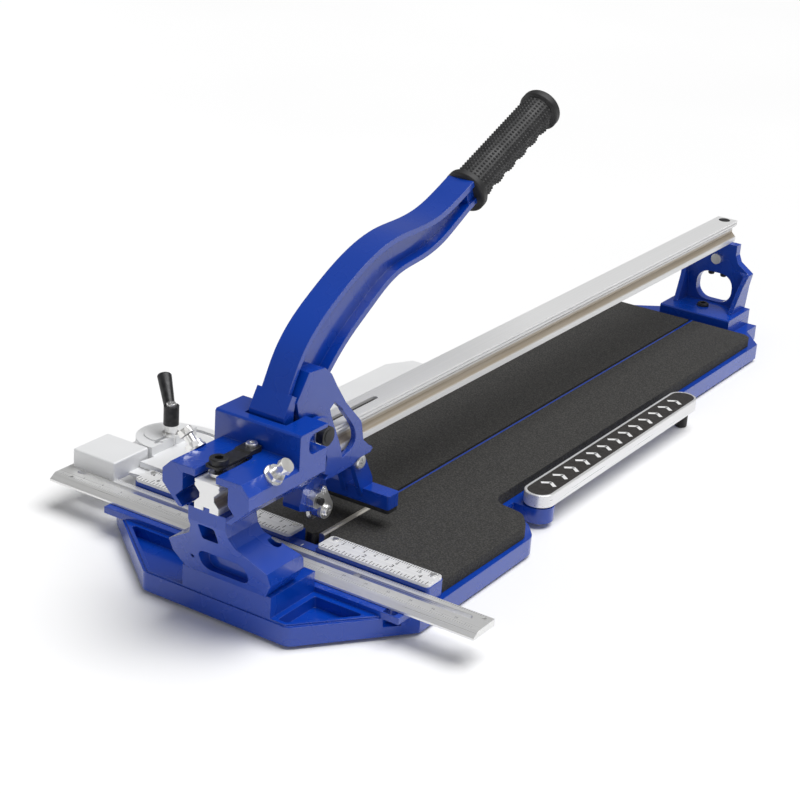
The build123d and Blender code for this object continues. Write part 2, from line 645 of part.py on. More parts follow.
bolt_x = 24.0
with BuildPart() as pivot_bolt:
    with BuildSketch(Plane.YZ.offset(-bolt_x - 0.2)):
        with Locations((pivot_y, pivot_z)):
            Circle(pivot_r - run)
    extrude(amount=2 * bolt_x + 8)
    with BuildSketch(Plane.YZ.offset(-bolt_x - 5.2)):
        with Locations((pivot_y, pivot_z)):
            RegularPolygon(7.5, 6, major_radius=False)
    extrude(amount=5)
save(pivot_bolt.part, "pivot_bolt")
save(ring((bolt_x + 0.1, pivot_y, pivot_z), (1, 0, 0), 8.6, pivot_r - run, 1.3), "pivot_washer")
save(hexagon((bolt_x + 1.4, pivot_y, pivot_z), (1, 0, 0), 15, 6.0, bore=pivot_r - run), "pivot_nut")

# ---------------------------------------------------------------- breaker foot
foot_half = 35.0
with BuildPart() as foot_bar:
    with BuildSketch(Plane.XY.offset(46)):
        with Locations((0, 69)):
            RectangleRounded(2 * foot_half, 15, 2)
    extrude(amount=12)
    for ear_x in (-10, 5.4):
        with BuildSketch(Plane.YZ.offset(ear_x)):
            with Locations((foot_y, foot_z)):
                Circle(7.6)
            Polygon((61.7, 50), (76.3, 50), (74, 64), (foot_y + 6.8, foot_z + 3.4), (foot_y - 6.2, foot_z - 4.4),
                    align=None)
        extrude(amount=4.6)
    with BuildSketch(Plane.YZ.offset(-15)):
        with Locations((foot_y, foot_z)):
            Circle(3.0)
    extrude(amount=30, mode=Mode.SUBTRACT)
save(foot_bar.part, "foot_bar")
with BuildPart() as foot_sole:
    with BuildSketch(Plane.XY.offset(42)):
        with Locations((0, 69)):
            RectangleRounded(2 * foot_half - 1, 14, 2)
    extrude(amount=4)
save(foot_sole.part, "foot_sole")
with BuildPart() as foot_screw:
    with BuildSketch(Plane.YZ.offset(-12)):
        with Locations((foot_y, foot_z)):
            Circle(3.0)
    extrude(amount=22)
    with BuildSketch(Plane.YZ.offset(10)):
        with Locations((foot_y, foot_z)):
            Circle(6.2)
    extrude(amount=2.6)
    fillet(foot_screw.edges().filter_by(GeomType.CIRCLE).sort_by(Axis.X)[-1], 1.6)
    with BuildSketch(Plane.YZ.offset(12.6)):
        with Locations((foot_y, foot_z)):
            Rectangle(6.4, 1.3)
            Rectangle(1.3, 6.4)
    extrude(amount=-1.5, mode=Mode.SUBTRACT)
save(foot_screw.part, "foot_screw")

# ---------------------------------------------------------------- scoring wheel
clamp_bolt_y = -6.0                             # bolt that clamps the holder
clamp_bolt_z = 73.0
keeper_y = 5.3                                  # small screw at the top of the keeper plate
keeper_z = 76.5
with BuildPart() as wheel_holder:
    with BuildSketch(Plane.YZ.offset(-8)):
        Polygon((-4, 89.7), (-1, 88.8), (12, 88.8), (12, 78), (16.5, 64), (16.5, 56), (12, 51.5), (7, 51.5),
                (3.5, 54.5), (2.1, 59.4), (-20.6, 67), (-21.5, 71), (-18, 84), align=None)
    extrude(amount=16)
    with BuildSketch(Plane.YZ.offset(-1.6)):
        with Locations((wheel_y, wheel_z)):
            Circle(wheel_r + 1.2)
        Polygon((-6, 40), (24, 40), (24, 62), (-6, 62), align=None)
    extrude(amount=3.2, mode=Mode.SUBTRACT)
    with BuildSketch(Plane.YZ.offset(-12)):
        with Locations((wheel_y, wheel_z)):
            Circle(2.5)
        with Locations((clamp_bolt_y, clamp_bolt_z)):
            Circle(3.0)
        with Locations((keeper_y, keeper_z)):
            Circle(1.5)
    extrude(amount=24, mode=Mode.SUBTRACT)
save(wheel_holder.part, "wheel_holder")

with BuildPart() as scoring_wheel:
    with BuildSketch(Plane(origin=(0, wheel_y, wheel_z), x_dir=(0, 1, 0), z_dir=(1, 0, 0))):
        Circle(wheel_r)
        Circle(2.5 + run, mode=Mode.SUBTRACT)
    extrude(amount=1.25, both=True)
    chamfer(scoring_wheel.edges().filter_by(GeomType.CIRCLE).group_by(SortBy.RADIUS)[-1], 1.2, 2.6)
save(scoring_wheel.part, "scoring_wheel")

# axle screw of the wheel: domed cross head outside the keeper plate
with BuildPart() as wheel_axle:
    with BuildSketch(Plane.YZ.offset(-8.2)):
        with Locations((wheel_y, wheel_z)):
            Circle(2.5)
    extrude(amount=20)
    with BuildSketch(Plane.YZ.offset(11.1)):
        with Locations((wheel_y, wheel_z)):
            Circle(4.6)
    extrude(amount=2.6)
    fillet(wheel_axle.edges().filter_by(GeomType.CIRCLE).sort_by(Axis.X)[-1], 1.8)
    with BuildSketch(Plane.YZ.offset(13.7)):
        with Locations((wheel_y, wheel_z)):
            Rectangle(4.4, 1.1)
            Rectangle(1.1, 4.4)
    extrude(amount=-1.4, mode=Mode.SUBTRACT)
save(wheel_axle.part, "wheel_axle")

clamp_bolt = rod((-8.6, clamp_bolt_y, clamp_bolt_z), (1, 0, 0), 3.0, 26.6)
clamp_bolt = clamp_bolt.fuse(hexagon((-8.0, clamp_bolt_y, clamp_bolt_z), (-1, 0, 0), 10, 4))
save(clamp_bolt.clean(), "holder_bolt")
save(hexagon((8.0, clamp_bolt_y, clamp_bolt_z), (1, 0, 0), 13, 6.4, bore=3.0), "holder_nut")

with BuildPart() as wheel_keeper:
    with BuildSketch(Plane.YZ.offset(8)):
        with Locations((10.3, 59.3)):
            Circle(8.2)
        with Locations((keeper_y, keeper_z)):
            Circle(3.7)
        Polygon((2.4, 57), (18.2, 61.6), (8.9, 77.5), (1.75, 75.5), align=None)
        with Locations((keeper_y, keeper_z)):
            Circle(1.5, mode=Mode.SUBTRACT)
        with Locations((wheel_y, wheel_z)):
            Circle(2.5, mode=Mode.SUBTRACT)
        with Locations((clamp_bolt_y, clamp_bolt_z)):
            Circle(7.9, mode=Mode.SUBTRACT)
    extrude(amount=3.1)
save(wheel_keeper.part, "wheel_keeper")
save(socket_screw((11.1, keeper_y, keeper_z), (1, 0, 0), 2.8, 1.4, 1.5, 12, key=1.1), "keeper_screw")

# ---------------------------------------------------------------- ruler bar and square head
slot_left = -219.0
slot_right = 163.0
slot_y = -17.0
pin_r = 2.8
with BuildPart() as ruler_bar:
    with BuildSketch(Plane.YZ.offset(bar_left)):
        Polygon((bar_front, bar_bottom), (bar_front, 26), (-31, bar_top), (bar_back, bar_top),
                (bar_back, bar_bottom), align=None)
    extrude(amount=bar_right - bar_left)
    with BuildSketch(Plane.XY.offset(40)):
        with Locations(((slot_left + slot_right) / 2, slot_y)):
            SlotOverall(slot_right - slot_left, 2 * pin_r + 2 * run)
    extrude(amount=-30, mode=Mode.SUBTRACT)
    with Locations((bar_left + 16, bar_front + 8.5, bar_top)):
        Hole(1.6)
    with Locations((bar_right - 6, -12.5, bar_top)):
        Hole(1.6)
save(ruler_bar.part, "ruler_bar")

guide_pins = []
for pin_x in (-60, 60):
    guide_pins.append(rod((pin_x, slot_y, 14), (0, 0, 1), pin_r, 15))
save_group(guide_pins, "guide_pins")

with BuildPart() as square_head:
    with BuildSketch(Plane.XY.offset(bar_top)):
        with Locations(((-229 - 184) / 2, 8.5)):
            RectangleRounded(45, 43, 2)
    extrude(amount=16)
    with BuildSketch(Plane.XY.offset(bar_top - 1)):
        with Locations(((-229 - 184) / 2, 20)):
            Rectangle(60, 56)
    extrude(amount=3.0, mode=Mode.SUBTRACT)
    fillet(square_head.edges().group_by(Axis.Z)[-1], 1.5)
save(square_head.part, "square_head")

quadrant_r = 57.0
quadrant_z = 29.4
with BuildPart() as quadrant:
    with BuildSketch(Plane.XY.offset(quadrant_z)):
        with Locations((hub_x, hub_y)):
            Circle(quadrant_r)
        with Locations((hub_x + 26 + 50, hub_y), (hub_x - 34 - 50, hub_y)):
            Rectangle(100, 140, mode=Mode.SUBTRACT)
        with Locations(((-229 - 184) / 2, 8)):
            Rectangle(45, 31.6)
        with Locations((fence_left - 0.8 + 30, 0)):
            Rectangle(60, 34, mode=Mode.SUBTRACT)
    extrude(amount=2.6)
    # curved slot of the angle scale, and the hole of the hub pin
    with BuildSketch(Plane.XY.offset(quadrant_z - 1)):
        with Locations((hub_x, hub_y)):
            SlotArc(CenterArc((0, 0), 47, 65, 55), 5.4)
            Circle(4.0 + run)
    extrude(amount=5, mode=Mode.SUBTRACT)
save(quadrant.part, "quadrant")

# ---------------------------------------------------------------- swinging side fence
blade_left = -155.0
blade_right = -125.0
blade_end = 366.0
with BuildPart() as fence_blade:
    with BuildSketch(Plane.XY.offset(blade_z)):
        Polygon((-183, 18), (blade_right, 18), (blade_right, blade_end), (-141, blade_end), (blade_left, 340),
                (blade_left, 104), (-172, 92), align=None)
        with Locations((hub_x, hub_y)):
            Circle(29.5)
    extrude(amount=blade_t)
    with BuildSketch(Plane.XY.offset(blade_z + blade_t)):
        with Locations((hub_x, hub_y)):
            Circle(29.5)
        with Locations((hub_x + 4 + 50, hub_y)):
            Rectangle(100, 80, mode=Mode.SUBTRACT)
    extrude(amount=7.5)
    with BuildSketch(Plane.XY.offset(blade_z + blade_t + 7.5)):
        with Locations((hub_x - 6, hub_y)):
            Circle(18)
        with Locations((hub_x + 4 + 50, hub_y)):
            Rectangle(100, 80, mode=Mode.SUBTRACT)
    extrude(amount=1.2)
    # groove along the step of the hub, and the hole of the clamp stud
    with BuildSketch(Plane.XY.offset(60)):
        with Locations((hub_x - 0.5, hub_y - 14)):
            SlotOverall(13, 3.2, rotation=90)
    extrude(amount=-20, mode=Mode.SUBTRACT)
    with Locations((hub_x, hub_y, 60)):
        Hole(4.0 + run)
save(fence_blade.part, "fence_blade")

with BuildPart() as hub_pin:
    with Locations((hub_x, hub_y, 24)):
        Cylinder(7.5, quadrant_z - 24, align=(Align.CENTER, Align.CENTER, Align.MIN))
        Cylinder(4.0, 28.3, align=(Align.CENTER, Align.CENTER, Align.MIN))
save(hub_pin.part, "hub_pin")

clamp_dir = Vector(-0.62, 0.50, 0.60).normalized()
clamp_start = Vector(hub_x, hub_y, 63)
clamp_top = 73.0
with BuildPart() as clamp_collar:
    with Locations((hub_x, hub_y, 46.4)):
        Cylinder(7.4, 2.2, align=(Align.CENTER, Align.CENTER, Align.MIN))
    with Locations((hub_x, hub_y, 48.6)):
        Cone(5.2, 6.2, 7.4, align=(Align.CENTER, Align.CENTER, Align.MIN))
    with Locations((hub_x, hub_y, 46)):
        Cylinder(4.0 + run, 6.4, align=(Align.CENTER, Align.CENTER, Align.MIN), mode=Mode.SUBTRACT)
save(clamp_collar.part, "clamp_collar")

with BuildPart() as clamp_lever:
    with Locations((hub_x, hub_y, 56)):
        Cylinder(6.6, clamp_top - 56, align=(Align.CENTER, Align.CENTER, Align.MIN))
    with BuildSketch(Plane(origin=clamp_start, x_dir=(0, 0, 1), z_dir=clamp_dir)):
        Ellipse(5.6, 4.2)
    with BuildSketch(Plane(origin=clamp_start + clamp_dir * 42, x_dir=(0, 0, 1), z_dir=clamp_dir)):
        Ellipse(5.0, 6.4)
    loft()
    fillet(clamp_lever.faces().sort_by(Axis(clamp_start, clamp_dir))[-1].edges(), 2.5)
    with Locations((hub_x, hub_y, clamp_top)):
        Hole(2.4, depth=8)
save(clamp_lever.part, "clamp_lever")
save(socket_screw((hub_x, hub_y, clamp_top), (0, 0, 1), 4.2, 2.4, 2.4, 7.5, key=1.9), "clamp_screw")

# ---------------------------------------------------------------- extension arms
for side_name, arm_x in (("right", arm_right), ("left", arm_left)):
    with BuildPart() as arm:
        with BuildSketch(Plane.XY.offset(arm_bottom)):
            with Locations((arm_x, arm_y + arm_length / 2)):
                SlotCenterToCenter(arm_length, 2 * arm_r, rotation=90)
        extrude(amount=arm_top - arm_bottom)
        fillet(arm.edges().group_by(Axis.Z)[-1], 0.8)
        # shallow recess of the label
        with BuildSketch(Plane.XY.offset(arm_top)):
            with Locations((arm_x, arm_y + arm_length / 2)):
                SlotCenterToCenter(arm_length, 2 * arm_r - 5, rotation=90)
        extrude(amount=-0.8, mode=Mode.SUBTRACT)
        with Locations((arm_x, arm_y, 0)):
            Cylinder(4.0 + run, 80, mode=Mode.SUBTRACT)
        with Locations((arm_x, arm_y + arm_length + 4, arm_bottom)):
            Cylinder(2.5, 14, mode=Mode.SUBTRACT)
    save(arm.part, f"{side_name}_arm")
    with BuildPart() as arm_label:
        with BuildSketch(Plane.XY.offset(arm_top - 0.8)):
            with Locations((arm_x, arm_y + arm_length / 2)):
                SlotCenterToCenter(arm_length, 2 * arm_r - 5, rotation=90)
        extrude(amount=0.7)
    save(arm_label.part, f"{side_name}_arm_label")
    with BuildPart() as arm_foot:
        with Locations((arm_x, arm_y + arm_length + 4, 0)):
            Cylinder(6.0, arm_bottom, align=(Align.CENTER, Align.CENTER, Align.MIN))
        chamfer(arm_foot.edges().group_by(Axis.Z)[0], 1.0)
        with Locations((arm_x, arm_y + arm_length + 4, arm_bottom)):
            Cylinder(2.5, 6.5, align=(Align.CENTER, Align.CENTER, Align.MIN))
    save(arm_foot.part, f"{side_name}_arm_foot")

arm_bolts = []
for arm_x in (arm_right, arm_left):
    shank = rod((arm_x, arm_y, 4), (0, 0, 1), 4.0, arm_top - 1.2 - 4)
    arm_bolts.append(shank.fuse(hexagon((arm_x, arm_y, 5), (0, 0, -1), 13, 4.0)).clean())
save_group(arm_bolts, "arm_bolts")
save_group([ring((arm_x, arm_y, bed_z), (0, 0, 1), 9.0, 4.0 + run, arm_bottom - bed_z)
            for arm_x in (arm_right, arm_left)], "arm_washers")
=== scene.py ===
"""Looks of a manual tile cutter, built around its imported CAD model.

Units are metres, in the frame of the CAD: +Z up, +Y along the rail, +X to the operator's right,
with the origin on the table under the cut line.
"""
import json
import math

import bmesh
import bpy
from mathutils import Matrix, Vector


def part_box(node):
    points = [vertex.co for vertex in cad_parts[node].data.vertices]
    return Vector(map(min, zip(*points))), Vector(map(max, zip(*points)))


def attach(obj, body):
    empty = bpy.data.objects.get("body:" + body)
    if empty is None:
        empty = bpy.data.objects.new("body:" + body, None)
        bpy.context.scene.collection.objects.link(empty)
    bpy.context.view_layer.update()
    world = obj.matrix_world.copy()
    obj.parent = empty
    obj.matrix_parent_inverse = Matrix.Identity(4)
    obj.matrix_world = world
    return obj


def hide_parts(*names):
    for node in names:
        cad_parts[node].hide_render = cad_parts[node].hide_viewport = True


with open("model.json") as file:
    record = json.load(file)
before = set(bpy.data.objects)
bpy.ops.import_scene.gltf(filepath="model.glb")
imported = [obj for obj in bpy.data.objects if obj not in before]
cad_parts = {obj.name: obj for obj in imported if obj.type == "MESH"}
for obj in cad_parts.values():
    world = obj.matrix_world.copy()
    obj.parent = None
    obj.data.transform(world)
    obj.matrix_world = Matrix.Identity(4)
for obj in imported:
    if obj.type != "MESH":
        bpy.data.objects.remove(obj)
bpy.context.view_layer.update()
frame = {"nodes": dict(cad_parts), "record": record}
NODES = frame["nodes"]
MM = 0.001
INCH = 25.4 * MM
PRINT_T = 0.06 * MM     # thickness of printed marks
DIE_LINES = 900.0       # noise scale across the grain of drawn metal
DIE_RUN = 6.0           # noise scale along it


# ---------------------------------------------------------------- shader helpers
class Graph:
    """A material with a Principled shader and short calls for the nodes that feed it."""

    def __init__(self, name, **constants):
        self.material = bpy.data.materials.new(name)
        self.material.use_nodes = True
        self.tree = self.material.node_tree
        self.shader = self.tree.nodes["Principled BSDF"]
        for socket, value in constants.items():
            self.shader.inputs[socket.replace("_", " ")].default_value = value
        self.place = self.node("ShaderNodeTexCoord").outputs["Object"]

    def node(self, kind, **settings):
        made = self.tree.nodes.new(kind)
        for name, value in settings.items():
            setattr(made, name, value)
        return made

    def link(self, source, target):
        self.tree.links.new(source, target)

    def stretch(self, scale):
        """Object coordinates, scaled differently along each axis."""
        mapping = self.node("ShaderNodeMapping")
        mapping.inputs["Scale"].default_value = scale
        self.link(self.place, mapping.inputs["Vector"])
        return mapping.outputs["Vector"]

    def noise(self, scale, detail=2.0, place=None):
        made = self.node("ShaderNodeTexNoise")
        made.inputs["Scale"].default_value = scale
        made.inputs["Detail"].default_value = detail
        self.link(place or self.place, made.inputs["Vector"])
        return made.outputs["Fac"]

    def spread(self, value, low, high, start=0.3, end=0.7):
        """Map the stretch start..end of a value onto low..high."""
        made = self.node("ShaderNodeMapRange")
        made.inputs["From Min"].default_value = start
        made.inputs["From Max"].default_value = end
        made.inputs["To Min"].default_value = low
        made.inputs["To Max"].default_value = high
        self.link(value, made.inputs["Value"])
        return made.outputs["Result"]

    def ramp(self, value, *stops):
        """Colour along a ramp of (position, colour) stops."""
        made = self.node("ShaderNodeValToRGB")
        elements = made.color_ramp.elements
        while len(elements) < len(stops):
            elements.new(0.5)
        for element, (position, colour) in zip(elements, stops):
            element.position = position
            element.color = (*colour, 1.0)
        self.link(value, made.inputs["Fac"])
        return made.outputs["Color"]

    def edges(self, radius):
        """1 on flat faces and less along edges: a rounded normal against the true one."""
        rounded = self.node("ShaderNodeBevel", samples=4)
        rounded.inputs["Radius"].default_value = radius
        true = self.node("ShaderNodeNewGeometry")
        dot = self.node("ShaderNodeVectorMath", operation="DOT_PRODUCT")
        self.link(rounded.outputs["Normal"], dot.inputs[0])
        self.link(true.outputs["Normal"], dot.inputs[1])
        return dot.outputs["Value"]

    def mix(self, factor, first, second):
        """Blend two colours, each a tuple or a socket."""
        made = self.node("ShaderNodeMix", data_type="RGBA")
        self.link(factor, made.inputs[0])
        for socket, value in ((made.inputs[6], first), (made.inputs[7], second)):
            if isinstance(value, tuple):
                socket.default_value = (*value, 1.0)
            else:
                self.link(value, socket)
        return made.outputs[2]

    def color(self, value):
        self.link(value, self.shader.inputs["Base Color"])

    def roughness(self, value):
        self.link(value, self.shader.inputs["Roughness"])

    def relief(self, height, depth, strength=1.0, round_edges=0.0):
        """Bump from a height, over edges rounded in shading only."""
        bump = self.node("ShaderNodeBump")
        bump.inputs["Strength"].default_value = strength
        bump.inputs["Distance"].default_value = depth
        self.link(height, bump.inputs["Height"])
        if round_edges:
            rounded = self.node("ShaderNodeBevel", samples=4)
            rounded.inputs["Radius"].default_value = round_edges
            self.link(rounded.outputs["Normal"], bump.inputs["Normal"])
        self.link(bump.outputs["Normal"], self.shader.inputs["Normal"])


# ---------------------------------------------------------------- materials
def blue_paint():
    """Glossy royal blue over cast metal: faint orange peel, and a painted highlight of paler
    blue along edges.
    """
    g = Graph("blue_paint", Metallic=0.0, Specular_IOR_Level=0.5, Coat_Weight=0.45,
              Coat_Roughness=0.04)
    deep, bright, edge_highlight_blue = (0.0002, 0.040, 0.34), (0.0003, 0.048, 0.40), (0.05, 0.12, 0.60)
    tone = g.ramp(g.noise(9, 2), (0.3, deep), (0.7, bright))
    # Painted highlight: the colour turns paler blue along the edges.
    painted_edge_highlight = g.spread(g.edges(0.7 * MM), 0.5, 0.0, start=0.82, end=0.97)
    g.color(g.mix(painted_edge_highlight, tone, edge_highlight_blue))
    g.roughness(g.spread(g.noise(40, 2), 0.22, 0.30))
    g.relief(g.noise(300, 1), 0.05 * MM, 0.3, round_edges=0.9 * MM)
    return g.material


def pad_rubber():
    """Charcoal granulated rubber: millimetre grains, some paler than the rest."""
    g = Graph("pad_rubber", Specular_IOR_Level=0.3)
    grain = g.noise(750, 2)
    fine = g.noise(2200, 3)
    dark, middle, pale = (0.021, 0.0205, 0.020), (0.041, 0.040, 0.038), (0.080, 0.077, 0.072)
    tone = g.ramp(grain, (0.32, dark), (0.5, middle), (0.68, pale))
    g.color(g.mix(g.spread(fine, 0.0, 0.45), tone, (0.020, 0.0195, 0.019)))
    g.roughness(g.spread(fine, 0.7, 0.9))
    g.relief(grain, 0.4 * MM, 0.5)
    return g.material


def moulded_rubber():
    """Smooth black rubber of feet and strips."""
    g = Graph("moulded_rubber", Specular_IOR_Level=0.4)
    g.color(g.ramp(g.noise(220, 3), (0.3, (0.012, 0.012, 0.012)), (0.7, (0.026, 0.026, 0.027))))
    g.roughness(g.spread(g.noise(90, 2), 0.5, 0.7))
    g.relief(g.noise(900, 2), 0.1 * MM, 0.4, round_edges=0.5 * MM)
    return g.material


def grip_rubber():
    """Soft black grip, slightly uneven in tone."""
    g = Graph("grip_rubber", Specular_IOR_Level=0.45)
    g.color(g.ramp(g.noise(120, 4), (0.3, (0.010, 0.010, 0.011)), (0.75, (0.030, 0.030, 0.031))))
    g.roughness(g.spread(g.noise(40, 3), 0.42, 0.62))
    g.relief(g.noise(1500, 2), 0.08 * MM, 0.5)
    return g.material


def drawn_aluminium(name, along, tint, shade):
    """Extruded aluminium with fine die lines along one axis (0 = X, 1 = Y)."""
    g = Graph(name, Metallic=0.65)
    scale = [DIE_LINES, DIE_LINES, DIE_LINES]
    scale[along] = DIE_RUN
    lines = g.noise(1.0, 3, g.stretch(scale))
    cloud = g.noise(8, 3)
    g.color(g.mix(g.spread(cloud, 0.0, 1.0), g.ramp(lines, (0.35, shade), (0.65, tint)), tint))
    g.roughness(g.spread(lines, 0.26, 0.42))
    g.relief(lines, 0.05 * MM, 0.5, round_edges=0.3 * MM)
    return g.material


def rail_aluminium():
    """Extruded rail: die lines along its length, a painted reflection of tan in the hollow of
    its flanks, a painted highlight on its top and a paler end face.
    """
    g = Graph("rail_aluminium", Metallic=0.35)
    lines = g.noise(1.0, 3, g.stretch((DIE_LINES, DIE_RUN, DIE_LINES)))
    split = g.node("ShaderNodeSeparateXYZ")
    g.link(g.place, split.inputs[0])
    bottom, top = 0.103, 0.126
    end_face, behind_it = -0.1248, -0.1240
    silver, pale, groove_reflection_tan = (0.80, 0.80, 0.80), (0.93, 0.93, 0.93), (0.40, 0.33, 0.24)
    shade, end_face_pale = (0.66, 0.67, 0.68), (0.90, 0.90, 0.90)
    height = g.spread(split.outputs["Z"], 0.0, 1.0, bottom, top)
    on_end = g.spread(split.outputs["Y"], 1.0, 0.0, end_face, behind_it)
    # Painted light by height: a painted reflection of tan in the hollow of the flanks, and a
    # painted highlight paling toward the top face.
    band = g.ramp(height, (0.0, silver), (0.20, silver), (0.26, groove_reflection_tan), (0.48, groove_reflection_tan),
                  (0.56, silver), (0.9, silver), (1.0, pale))
    flank = g.mix(g.spread(lines, 0.0, 0.22), band, shade)
    g.color(g.mix(on_end, flank, end_face_pale))
    g.roughness(g.spread(lines, 0.28, 0.42))
    g.relief(lines, 0.05 * MM, 0.5, round_edges=0.3 * MM)
    return g.material


def strip_steel():
    """Cold rolled strip of the breaker anvil: smooth, with a tan tint that is a painted
    reflection.
    """
    g = Graph("strip_steel", Metallic=0.85)
    lines = g.noise(1.0, 2, g.stretch((700.0, 5.0, 700.0)))
    # The tan in these colours is a painted reflection.
    g.color(g.ramp(lines, (0.35, (0.66, 0.62, 0.55)), (0.65, (0.74, 0.71, 0.65))))
    g.roughness(g.spread(lines, 0.3, 0.4))
    g.relief(lines, 0.02 * MM, 0.3, round_edges=0.3 * MM)
    return g.material


def grey_casting():
    """Pale die casting with a fine blasted skin."""
    g = Graph("grey_casting", Metallic=0.15, Specular_IOR_Level=0.5)
    skin = g.noise(900, 3)
    g.color(g.ramp(g.noise(10, 2), (0.3, (0.74, 0.745, 0.75)), (0.7, (0.81, 0.815, 0.82))))
    g.roughness(g.spread(skin, 0.42, 0.55))
    g.relief(skin, 0.06 * MM, 0.4, round_edges=0.6 * MM)
    return g.material


def zinc_steel():
    """Bright zinc plate with the faintest colour cast and fine turning marks."""
    g = Graph("zinc_steel", Metallic=1.0)
    g.color(g.ramp(g.noise(30, 1), (0.3, (0.83, 0.82, 0.79)), (0.7, (0.86, 0.865, 0.88))))
    g.roughness(g.spread(g.noise(200, 2), 0.30, 0.36))
    g.relief(g.noise(900, 1), 0.01 * MM, 0.2, round_edges=0.35 * MM)
    return g.material


def ground_steel():
    """Bearing rings: polished, with very light haze."""
    g = Graph("ground_steel", Metallic=1.0)
    g.color(g.ramp(g.noise(90, 2), (0.3, (0.60, 0.60, 0.61)), (0.7, (0.72, 0.72, 0.73))))
    g.roughness(g.spread(g.noise(160, 3), 0.1, 0.22))
    g.relief(g.noise(1800, 2), 0.02 * MM, 0.3, round_edges=0.3 * MM)
    return g.material


def black_steel():
    """Black oxide on screws, leaf and clamp."""
    g = Graph("black_steel", Metallic=0.35, Specular_IOR_Level=0.5)
    g.color(g.ramp(g.noise(260, 3), (0.3, (0.014, 0.014, 0.015)), (0.75, (0.035, 0.035, 0.037))))
    g.roughness(g.spread(g.noise(120, 3), 0.32, 0.5))
    g.relief(g.noise(1200, 3), 0.06 * MM, 0.5, round_edges=0.35 * MM)
    return g.material


def carbide():
    """Ground cutting wheel: finely grained grey."""
    g = Graph("carbide", Metallic=1.0)
    g.color(g.ramp(g.noise(500, 3), (0.3, (0.40, 0.40, 0.41)), (0.7, (0.55, 0.55, 0.56))))
    g.roughness(g.spread(g.noise(700, 2), 0.2, 0.35))
    g.relief(g.noise(2400, 2), 0.02 * MM, 0.4)
    return g.material


def label_film():
    """Matt black film on the arms, lightly grained."""
    g = Graph("label_film", Specular_IOR_Level=0.4)
    g.color(g.ramp(g.noise(700, 3), (0.35, (0.016, 0.014, 0.013)), (0.7, (0.034, 0.030, 0.028))))
    g.roughness(g.spread(g.noise(200, 3), 0.45, 0.6))
    g.relief(g.noise(1500, 2), 0.05 * MM, 0.4)
    return g.material


def scale_metal():
    """Satin silver plate under the printed scale."""
    g = Graph("scale_metal", Metallic=0.4)
    lines = g.noise(1.0, 3, g.stretch((8.0, 1100.0, 1100.0)))
    g.color(g.ramp(lines, (0.35, (0.84, 0.84, 0.84)), (0.65, (0.93, 0.93, 0.93))))
    g.roughness(g.spread(lines, 0.36, 0.5))
    g.relief(lines, 0.03 * MM, 0.4, round_edges=0.3 * MM)
    return g.material


def ink(name, pale, dark):
    """Printed marks: slightly uneven ink."""
    g = Graph(name, Specular_IOR_Level=0.3)
    g.color(g.ramp(g.noise(1300, 3), (0.3, dark), (0.7, pale)))
    g.roughness(g.spread(g.noise(500, 2), 0.5, 0.7))
    return g.material


def studio_floor():
    """Plain white sweep."""
    g = Graph("studio_floor", Specular_IOR_Level=0.2, Roughness=0.8)
    g.color(g.ramp(g.noise(1.2, 2), (0.3, (0.90, 0.90, 0.90)), (0.7, (0.93, 0.93, 0.93))))
    return g.material


PAINT = blue_paint()
PAD = pad_rubber()
RUBBER = moulded_rubber()
GRIP = grip_rubber()
RAIL_METAL = rail_aluminium()
BAR_METAL = drawn_aluminium("bar_aluminium", along=0,
                            tint=(0.86, 0.86, 0.85), shade=(0.76, 0.76, 0.75))
ARM_METAL = drawn_aluminium("arm_aluminium", along=1,
                            tint=(0.86, 0.86, 0.87), shade=(0.76, 0.76, 0.77))
CASTING = grey_casting()
ZINC = zinc_steel()
BEARING = ground_steel()
BLACK = black_steel()
CARBIDE = carbide()
STRIP = strip_steel()
FILM = label_film()
SCALE = scale_metal()
DARK_INK = ink("dark_ink", pale=(0.022, 0.022, 0.024), dark=(0.012, 0.012, 0.013))
WHITE_INK = ink("white_ink", pale=(0.82, 0.82, 0.82), dark=(0.68, 0.68, 0.68))

# Nodes that aren't named here are zinc plated.
NODE_MATERIALS = {
    "base_casting": PAINT, "front_bracket": PAINT, "rear_bracket": PAINT, "carriage_body": PAINT,
    "lever_arm": PAINT, "wheel_holder": PAINT, "foot_bar": PAINT,
    "rail": RAIL_METAL, "ruler_bar": BAR_METAL, "right_arm": ARM_METAL, "left_arm": ARM_METAL,
    "left_scale_plate": SCALE, "right_scale_plate": SCALE,
    "square_head": CASTING, "quadrant": CASTING, "fence_blade": CASTING,
    "clamp_lever": BLACK, "holder_bolt": BLACK, "latch_leaf": BLACK, "latch_screw": BLACK,
    "rail_plug": BLACK, "pivot_nut": BLACK, "pivot_bolt": BLACK, "bracket_screws": BLACK,
    "rail_screws": BLACK,
    "front_left_bearing": BEARING, "front_right_bearing": BEARING,
    "rear_left_bearing": BEARING, "rear_right_bearing": BEARING,
    "scoring_wheel": CARBIDE, "breaker_anvil": STRIP,
    "right_arm_label": FILM, "left_arm_label": FILM,
}
for node_name, cad_object in NODES.items():
    cad_object.data.materials.clear()
    cad_object.data.materials.append(NODE_MATERIALS.get(node_name, ZINC))


# ---------------------------------------------------------------- mesh helpers
def finish_piece(mesh, name, material, body, smooth=True):
    """Turn mesh data into an object with one material that rides on a CAD body."""
    made = bpy.data.objects.new(name, mesh)
    bpy.context.scene.collection.objects.link(made)
    mesh.materials.clear()
    mesh.materials.append(material)
    if smooth:
        for face in mesh.polygons:
            face.use_smooth = True
    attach(made, body)
    return made


def mesh_from(bm, name):
    """Mesh data from a working mesh, which is freed."""
    mesh = bpy.data.meshes.new(name)
    bmesh.ops.recalc_face_normals(bm, faces=bm.faces)
    bm.to_mesh(mesh)
    bm.free()
    return mesh


def body_of_node(node):
    """Name of the CAD body that a node rides on."""
    for body, members in frame["record"]["behaviour"]["bodies"].items():
        if node in members:
            return body
    raise KeyError(node)


